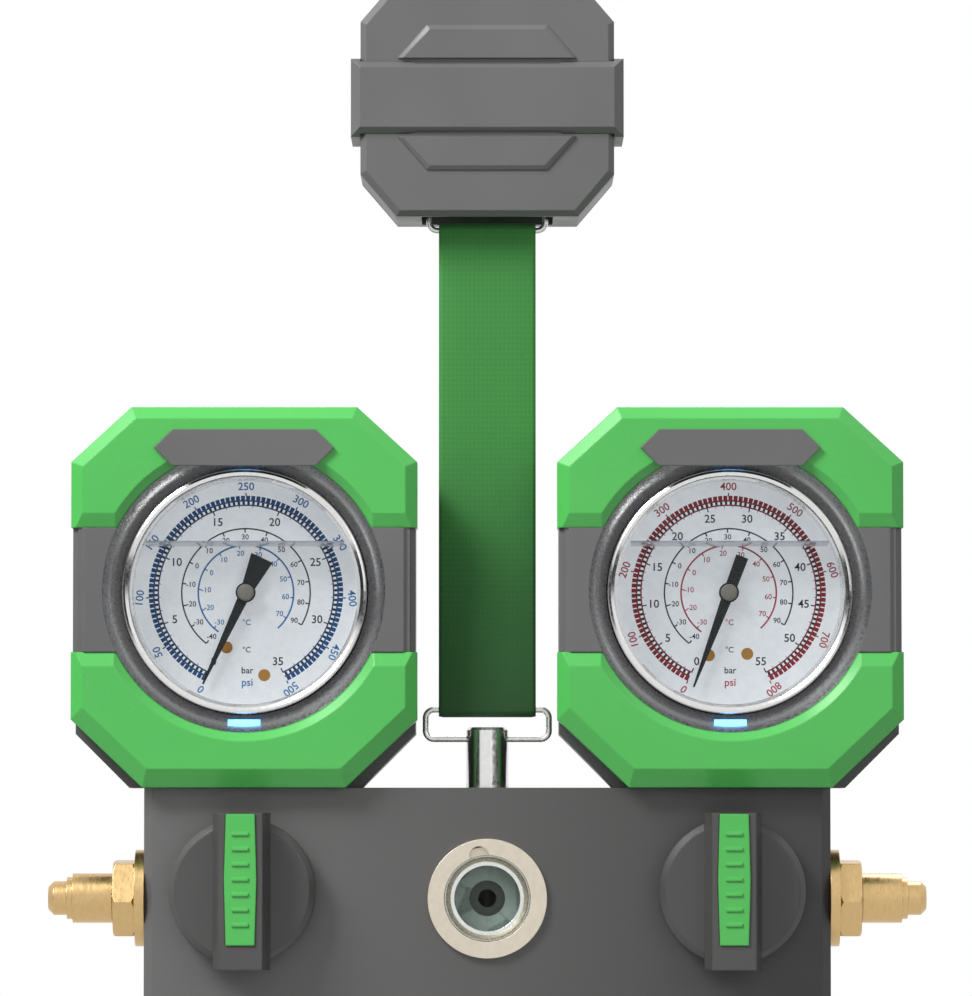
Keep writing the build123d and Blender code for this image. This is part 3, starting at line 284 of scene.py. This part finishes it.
PALE = metal("pale_metal", (0.68, 0.71, 0.68), (0.75, 0.78, 0.75), 0.22, depth=0.04)
SCREW = metal("screw_steel", (0.3, 0.3, 0.3), (0.42, 0.42, 0.42), 0.3)
MAGNET = metal("magnet_nickel", (0.5, 0.5, 0.5), (0.62, 0.62, 0.6), 0.2)
# painted light: the dial glows white so that it looks brightly lit; only part of that matches the gauge's
# LED backlight
DIAL = printed("dial_white", (0.88, 0.9, 0.92), 0.5, backlight=0.42)
BLACK = printed("print_black", (0.02, 0.022, 0.024))
BLUE = printed("print_blue", (0.012, 0.11, 0.33))
PALE_BLUE = printed("print_pale_blue", (0.05, 0.29, 0.68))
RED = printed("print_red", (0.42, 0.02, 0.04))
PALE_RED = printed("print_pale_red", (0.68, 0.07, 0.11))
ORANGE = printed("print_orange", (0.75, 0.36, 0.07))
NEEDLE = printed("needle_black", (0.005, 0.008, 0.007), 0.5)
HUB = printed("needle_hub", (0.42, 0.39, 0.33), 0.35)
WHITE_RING = printed("indicator_white", (0.62, 0.68, 0.66), 0.4)
WINDOW = clear_glass("window_glass", (0.97, 0.98, 0.99), 0.03)
LENS = clear_glass("lens_glass", (0.93, 0.97, 0.95), 0.03)
# painted highlight: the glycerine's level gets a whitish body colour to stand in for the bright line of
# light along the meniscus
FLUID_PAINTED_HIGHLIGHT = clear_glass("glycerine_surface", (0.8, 0.84, 0.88), 0.3, (0.95, 0.97, 1.0))
LED = glow("led_glow", (0.16, 0.5, 1.0), 2.4)
BLOCK = graded_block()
WEB = webbing()

FINISH = {
    "hanger_shell": HANGER, "hanger_band": HANGER, "hanger_back_cover": DARK, "hanger_magnets": MAGNET,
    "hanger_screws": SCREW, "housing_screws": SCREW, "upper_ring": WIRE, "lower_ring": WIRE,
    "hanging_post": STEEL, "manifold_block": BLOCK, "sight_glass_bezel": BEIGE, "sight_glass_seat": PALE,
    "sight_glass_lens": LENS, "sight_glass_indicator": WHITE_RING, "left_port_fitting": BRASS,
    "right_port_fitting": BRASS, "centre_port_fitting": BRASS, "left_port_cap": BRASS,
    "right_port_cap": BRASS,
    "backlight_leds": LED, "badge_plates": GREY, "strap": WEB,
}
SIDE_FINISH = {
    "upper_cover": GREEN, "lower_cover": GREEN, "front_frame": GREY, "rear_housing": DARK,
    "reflector": REFLECTOR, "gauge_case": STEEL, "gauge_bezel": STEEL, "gauge_window": WINDOW,
    "gauge_dial": DIAL, "gauge_stem": BRASS,
    "bourdon_tube": BRASS, "movement": BRASS, "sector_gear": BRASS, "pointer": NEEDLE, "valve_bonnet": BRASS,
    "valve_spindle": STEEL, "valve_piston": STEEL, "valve_knob": KNOB, "grip_insert": GREEN,
}


def dress_cad_parts():
    for side in ("left", "right"):
        for part, material in SIDE_FINISH.items():
            FINISH[f"{side}_{part}"] = material
    for node, material in FINISH.items():
        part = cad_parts[node]
        if not part.material_slots:
            part.data.materials.append(material)
        for slot in part.material_slots:
            slot.material = material


dress_cad_parts()


# Mesh helpers
def build_mesh(name, verts, faces, material, body, smooth=False):
    mesh = bpy.data.meshes.new(name)
    mesh.from_pydata([tuple(v) for v in verts], [], faces)
    mesh.update()
    mesh.materials.append(material)
    if smooth:
        mesh.shade_smooth()
    piece = bpy.data.objects.new(name, mesh)
    bpy.context.collection.objects.link(piece)
    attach(piece, body)
    return piece


class Print:
    """Flat ink on a dial: shapes are gathered in dial coordinates, then laid just above it."""

    def __init__(self, name, material, lift):
        self.name = name
        self.material = material
        self.lift = lift
        self.verts = []
        self.faces = []

    def shape(self, points):
        start = len(self.verts)
        self.verts += points
        self.faces.append(tuple(range(start, start + len(points))))

    def arc(self, start, end, inner, outer):
        """A strip between two radii, from one dial angle to another."""
        steps = max(1, int(abs(end - start) / 3))
        for k in range(steps):
            a = start + (end - start) * k / steps
            b = start + (end - start) * (k + 1) / steps
            self.shape([dial_point(*end) for end in ((a, inner), (a, outer), (b, outer), (b, inner))])

    def dot(self, x, z, radius):
        turns = [2 * pi * k / 24 for k in range(24)]
        self.shape([(x + radius * cos(a), z + radius * sin(a)) for a in turns])

    def word(self, text, x, z, size, turn=0.0):
        curve = bpy.data.curves.new("word", "FONT")
        curve.body = text
        curve.size = size
        curve.align_x = "CENTER"
        curve.align_y = "CENTER"
        curve.resolution_u = 3
        curve.offset = 0.012 * size
        letters = bpy.data.objects.new("word", curve)
        mesh = bpy.data.meshes.new_from_object(letters)
        start = len(self.verts)
        spin = Matrix.Rotation(turn, 2)
        for vertex in mesh.vertices:
            place = spin @ Vector((vertex.co.x, vertex.co.y))
            self.verts.append((x + place.x, z + place.y))
        self.faces += [tuple(start + i for i in polygon.vertices) for polygon in mesh.polygons]
        bpy.data.objects.remove(letters)
        bpy.data.curves.remove(curve)
        bpy.data.meshes.remove(mesh)

    def lay(self, centre, y):
        verts = [(centre.x + a * MM, y - self.lift * MM, centre.z + b * MM) for a, b in self.verts]
        return build_mesh(self.name, verts, self.faces, self.material, "manifold")


# Dial angles run clockwise from straight down, as the pointer does
SCALE_START = 25.0
SCALE_END = 335.0


def dial_point(angle, radius):
    return (-radius * sin(radians(angle)), -radius * cos(radians(angle)))


def scale_angle(value, full):
    return SCALE_START + (SCALE_END - SCALE_START) * value / full


def make_dial_print(side, colour, pale, psi_full, psi_step, bar_full, dots):
    """Pressure scales, plain numbers, two temperature arcs and the unit names of one dial."""
    low, high = corners(f"{side}_gauge_dial")
    centre = (low + high) / 2
    main = Print(f"{side}_dial_scale", colour, 0.03)
    numbers = Print(f"{side}_dial_numbers", pale, 0.035)
    black = Print(f"{side}_dial_black", BLACK, 0.04)
    amber = Print(f"{side}_dial_dots", ORANGE, 0.045)

    marks = 100
    step = (SCALE_END - SCALE_START) / marks
    for k in range(marks):
        a = SCALE_START + k * step
        main.arc(a, a + step * 0.78, 26.2, 27.4)
        black.arc(a + step * 0.25, a + step * 0.75, 24.9, 25.75)
    main.arc(SCALE_START, SCALE_END, 25.75, 26.2)
    main.arc(SCALE_START, SCALE_END, 24.5, 24.9)
    for value in range(0, psi_full + 1, psi_step):
        angle = scale_angle(value, psi_full)
        main.arc(angle - 0.35, angle + 0.35, 27.25, 28.2)
        x, z = dial_point(angle, 29.9)
        numbers.word(str(value), x, z, 3.1, turn=-radians(angle - 180) * 0.9)
    for value in range(0, bar_full + 1, 5):
        angle = scale_angle(value, bar_full)
        black.arc(angle - 0.4, angle + 0.4, 23.4, 24.7)
        x, z = dial_point(angle, 21.4)
        black.word(str(value), x, z, 3.2)
    for value in range(0, bar_full + 1):
        angle = scale_angle(value, bar_full)
        black.arc(angle - 0.18, angle + 0.18, 24.0, 24.7)

    black.arc(38, 300, 17.9, 18.3)
    for k in range(14):
        angle = 38 + k * 262 / 13
        black.arc(angle - 0.6, angle + 0.6, 17.0, 18.0)
        x, z = dial_point(angle, 15.7)
        black.word(str(-40 + 10 * k), x, z, 2.1)
    numbers.arc(35, 318, 13.2, 13.65)
    for k in range(11):
        angle = 42 + k * 26
        numbers.arc(angle - 0.7, angle + 0.7, 12.5, 13.3)
        x, z = dial_point(angle, 11.2)
        numbers.word(str(-30 + 10 * k), x, z, 2.1)

    black.word("bar", 0.4, -21.9, 2.6)
    numbers.word("psi", 0.4, -25.3, 3.0)
    black.word("°C", 0.2, -16.1, 2.2)
    numbers.word("°C", 0.2, -8.4, 2.2)
    for x, z in dots:
        amber.dot(x, z, 1.7)
    for ink in (main, numbers, black, amber):
        ink.lay(centre, low.y)


make_dial_print("left", BLUE, PALE_BLUE, 500, 50, 35, ((-5.4, -15.4), (5.2, -23.2)))
make_dial_print("right", RED, PALE_RED, 800, 100, 55, ((-5.6, -17.6), (5.2, -17.2)))


def make_hub(side):
    """The turned cap on a pointer: a domed pale disc with a dark rim."""
    low, high = corners(f"{side}_pointer")
    centre = middle(f"{side}_gauge_dial")
    rings = ((2.35, 0.0), (2.35, 0.25), (2.1, 0.45), (1.4, 0.58), (0.6, 0.64))
    verts = []
    faces = []
    count = 40
    for radius, height in rings:
        for k in range(count):
            a = 2 * pi * k / count
            x = centre.x + radius * MM * cos(a)
            z = centre.z + radius * MM * sin(a)
            verts.append((x, low.y - height * MM, z))
    for r in range(len(rings) - 1):
        for k in range(count):
            n = (k + 1) % count
            faces.append((r * count + k, r * count + n, (r + 1) * count + n, (r + 1) * count + k))
    last = (len(rings) - 1) * count
    faces.append(tuple(last + k for k in range(count)))
    faces.append(tuple(reversed(range(count))))
    piece = build_mesh(f"{side}_hub_cap", verts, faces, HUB, f"{side}_needle", smooth=True)
    return piece


def make_fluid_level(side, rise, drop):
    """The glycerine's surface: a thin level disc behind the window; its whitish colour is a painted
    highlight for the bright line along its front edge.
    """
    dial_low, dial_high = corners(f"{side}_gauge_dial")
    window_low, window_high = corners(f"{side}_gauge_window")
    centre = (dial_low + dial_high) / 2
    radius = (dial_high.x - dial_low.x) / 2 - 0.0004
    half = sqrt(radius ** 2 - rise ** 2)
    front = window_high.y + 0.0002
    back = dial_low.y - 0.0002
    z = centre.z + rise
    columns = 24
    verts = []
    faces = []
    for y, top, low in ((front, 0.0003, 0.0002), (back, 0.0, drop)):
        for k in range(columns + 1):
            x = centre.x + half * (2 * k / columns - 1)
            verts.append((x, y, z + top))
            verts.append((x, y, z - low))
    row = 2 * (columns + 1)
    for k in range(columns):
        a = 2 * k
        faces.append((a, a + 2, a + 3, a + 1))
        faces.append((row + a, row + a + 1, row + a + 3, row + a + 2))
        faces.append((a, row + a, row + a + 2, a + 2))
        faces.append((a + 1, a + 3, row + a + 3, row + a + 1))
    last = 2 * columns
    faces.append((0, 1, row + 1, row))
    faces.append((last, row + last, row + last + 1, last + 1))
    build_mesh(f"{side}_fluid_level", verts, faces, FLUID_PAINTED_HIGHLIGHT, "manifold")


for gauge_side in ("left", "right"):
    make_hub(gauge_side)
    make_fluid_level(gauge_side, 0.0140, 0.0010)


# The strap: one web, its ends folded round the wire rings and sewn
WEB_THICKNESS = 0.0012
WIRE_RADIUS = 0.00085
FOLD_CLEARANCE = 0.00015
FOLD_TAPER = 0.008
FOLD_BACK = 0.026


def strap_line():
    """The web's middle line in Y and Z, from the hidden upper end, round both bars, to the lower end."""
    low, high = corners("strap")
    bend = WIRE_RADIUS + FOLD_CLEARANCE + WEB_THICKNESS / 2
    reach = bend + WEB_THICKNESS / 2
    y = (low.y + high.y) / 2
    top = high.z - reach
    foot = low.z + reach
    ply = WEB_THICKNESS / 2
    points = [(y + ply, top - FOLD_BACK), (y + ply, top - FOLD_TAPER - 0.004), (y + ply, top - FOLD_TAPER)]
    for k in range(13):
        a = pi * k / 12
        points.append((y + bend * cos(a), top + bend * sin(a)))
    points += [(y - ply, top - FOLD_TAPER), (y - ply, top - FOLD_BACK)]
    steps = 16
    for k in range(1, steps):
        z = top - FOLD_BACK + (foot - top + 2 * FOLD_BACK) * k / steps
        points.append((y - ply + 0.00012 * sin(2.2 * pi * k / steps), z))
    points += [(y - ply, foot + FOLD_BACK), (y - ply, foot + FOLD_TAPER)]
    for k in range(13):
        a = pi + pi * k / 12
        points.append((y + bend * cos(a), foot + bend * sin(a)))
    for rise in (FOLD_TAPER, FOLD_TAPER + 0.004, FOLD_BACK):
        points.append((y + ply, foot + rise))
    return points


def make_strap():
    low, high = corners("strap")
    line = strap_line()
    half = (high.x - low.x) / 2
    edge = 0.0012
    across = [-half, -half + edge, -half * 0.5, 0.0, half * 0.5, half - edge, half]
    verts = []
    faces = []
    thickness = WEB_THICKNESS * 0.94
    for side in (-1, 1):
        for i, (y, z) in enumerate(line):
            ahead = line[min(i + 1, len(line) - 1)]
            behind = line[max(i - 1, 0)]
            run = Vector((ahead[0] - behind[0], ahead[1] - behind[1])).normalized()
            for x in across:
                thin = thickness / 2 * (0.55 if abs(x) > half - edge / 2 else 1.0)
                verts.append((x, y + side * thin * run.y, z - side * thin * run.x))
    columns = len(across)
    rows = len(line)
    layer = rows * columns
    for r in range(rows - 1):
        for c in range(columns - 1):
            a = r * columns + c
            faces.append((a, a + 1, a + columns + 1, a + columns))
            faces.append((layer + a, layer + a + columns, layer + a + columns + 1, layer + a + 1))
        a = r * columns
        faces.append((a, a + columns, layer + a + columns, layer + a))
        a = r * columns + columns - 1
        faces.append((a, layer + a, layer + a + columns, a + columns))
    for a in (0, (rows - 1) * columns):
        for c in range(columns - 1):
            quad = (a + c, layer + a + c, layer + a + c + 1, a + c + 1)
            faces.append(quad if a == 0 else tuple(reversed(quad)))
    piece = build_mesh("webbing_strap", verts, faces, WEB, "strap", smooth=True)
    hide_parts("strap")
    return piece


make_strap()


# Studio: white surround, soft lights and a pale floor
def seen_directly(tree):
    """1 for camera, glossy and transmitted rays, 0 for the light that falls on things."""
    paths = tree.nodes.new("ShaderNodeLightPath")
    value = paths.outputs["Is Camera Ray"]
    for ray in ("Is Glossy Ray", "Is Transmission Ray"):
        either = tree.nodes.new("ShaderNodeMath")
        either.operation = "MAXIMUM"
        tree.links.new(value, either.inputs[0])
        tree.links.new(paths.outputs[ray], either.inputs[1])
        value = either.outputs["Value"]
    return value


def make_world():
    world = bpy.data.worlds.new("studio")
    bpy.context.scene.world = world
    world.use_nodes = True
    tree = world.node_tree
    soft = tree.nodes["Background"]
    soft.inputs["Strength"].default_value = 0.72
    white = add(tree, "ShaderNodeBackground", Color=(1, 1, 1, 1), Strength=1.0)
    coordinates = tree.nodes.new("ShaderNodeTexCoord")
    split = tree.nodes.new("ShaderNodeSeparateXYZ")
    tree.links.new(coordinates.outputs["Generated"], split.inputs["Vector"])
    rise = add(tree, "ShaderNodeMapRange")
    rise.inputs["From Min"].default_value = -1.0
    tree.links.new(split.outputs["Z"], rise.inputs["Value"])
    sky = ramp(tree, rise.outputs["Result"], ((0.0, (0.03, 0.03, 0.03)), (0.42, (0.12, 0.12, 0.12)),
                                              (0.6, (0.6, 0.6, 0.6)), (1.0, (1.0, 1.0, 1.0))))
    tree.links.new(sky, soft.inputs["Color"])
    final = tree.nodes.new("ShaderNodeMixShader")
    tree.links.new(seen_directly(tree), final.inputs["Fac"])
    tree.links.new(soft.outputs["Background"], final.inputs[1])
    tree.links.new(white.outputs["Background"], final.inputs[2])
    tree.links.new(final.outputs["Shader"], tree.nodes["World Output"].inputs["Surface"])


def make_light(name, place, size, power, target=(0, -0.03, -0.13)):
    data = bpy.data.lights.new(name, "AREA")
    data.shape = "RECTANGLE"
    data.size, data.size_y = size
    data.energy = power
    light = bpy.data.objects.new(name, data)
    bpy.context.collection.objects.link(light)
    light.location = place
    light.rotation_euler = (Vector(target) - Vector(place)).to_track_quat("-Z", "Y").to_euler()


def stage_panel(name, material, places):
    mesh = bpy.data.meshes.new(name)
    mesh.from_pydata(places, [], [(0, 1, 2, 3)])
    mesh.materials.append(material)
    panel = bpy.data.objects.new(name, mesh)
    bpy.context.collection.objects.link(panel)
    return panel


FLOOR_REACH = 3.0
FLOOR_Z = -0.34
FLOOR_WHITE = 0.93


def make_floor():
    """A pale floor well below the hanging set; it keeps the shadow and throws little light back."""
    material, tree, shader = new_material("floor_white")
    shader.inputs["Roughness"].default_value = 0.9
    cloud = noise(tree, object_space(tree), 6.0)
    tone = ramp(tree, cloud, ((0.3, (0.2, 0.2, 0.2)), (0.7, (0.24, 0.24, 0.24))))
    tree.links.new(tone, shader.inputs["Base Color"])
    shine = add(tree, "ShaderNodeEmission", Color=(1, 1, 1, 1), Strength=1.0)
    share = tree.nodes.new("ShaderNodeMath")
    share.operation = "MULTIPLY"
    share.inputs[1].default_value = FLOOR_WHITE
    tree.links.new(seen_directly(tree), share.inputs[0])
    mix = tree.nodes.new("ShaderNodeMixShader")
    tree.links.new(share.outputs["Value"], mix.inputs["Fac"])
    tree.links.new(shader.outputs["BSDF"], mix.inputs[1])
    tree.links.new(shine.outputs["Emission"], mix.inputs[2])
    tree.links.new(mix.outputs["Shader"], tree.nodes["Material Output"].inputs["Surface"])
    r = FLOOR_REACH
    stage_panel("floor", material, [(-r, -r, FLOOR_Z), (r, -r, FLOOR_Z), (r, r, FLOOR_Z), (-r, r, FLOOR_Z)])


def make_cards():
    """Dark panels beside the set, unseen by the camera, for the metal and gloss to reflect."""
    material, tree, shader = new_material("card_black")
    shader.inputs["Roughness"].default_value = 0.9
    cloud = noise(tree, object_space(tree), 8.0)
    tone = ramp(tree, cloud, ((0.3, (0.012, 0.012, 0.012)), (0.7, (0.018, 0.018, 0.018))))
    tree.links.new(tone, shader.inputs["Base Color"])
    for name, x, near, far, low, high in CARDS:
        places = [(x, near, low), (x, far, low), (x, far, high), (x, near, high)]
        stage_panel(name, material, places).visible_camera = False


CARDS = (("card_right", 0.7, -1.5, -0.15, -0.9, -0.10), ("card_left", -0.65, -0.75, -0.1, -0.7, 0.05))

make_world()
make_floor()
make_cards()
make_light("key", (-0.8, -0.7, 0.8), (0.5, 0.5), 21.0)
make_light("fill", (0.9, -1.3, 0.1), (0.6, 0.9), 3.0)
make_light("rim", (0.25, 0.5, 0.6), (0.6, 0.4), 4.0)
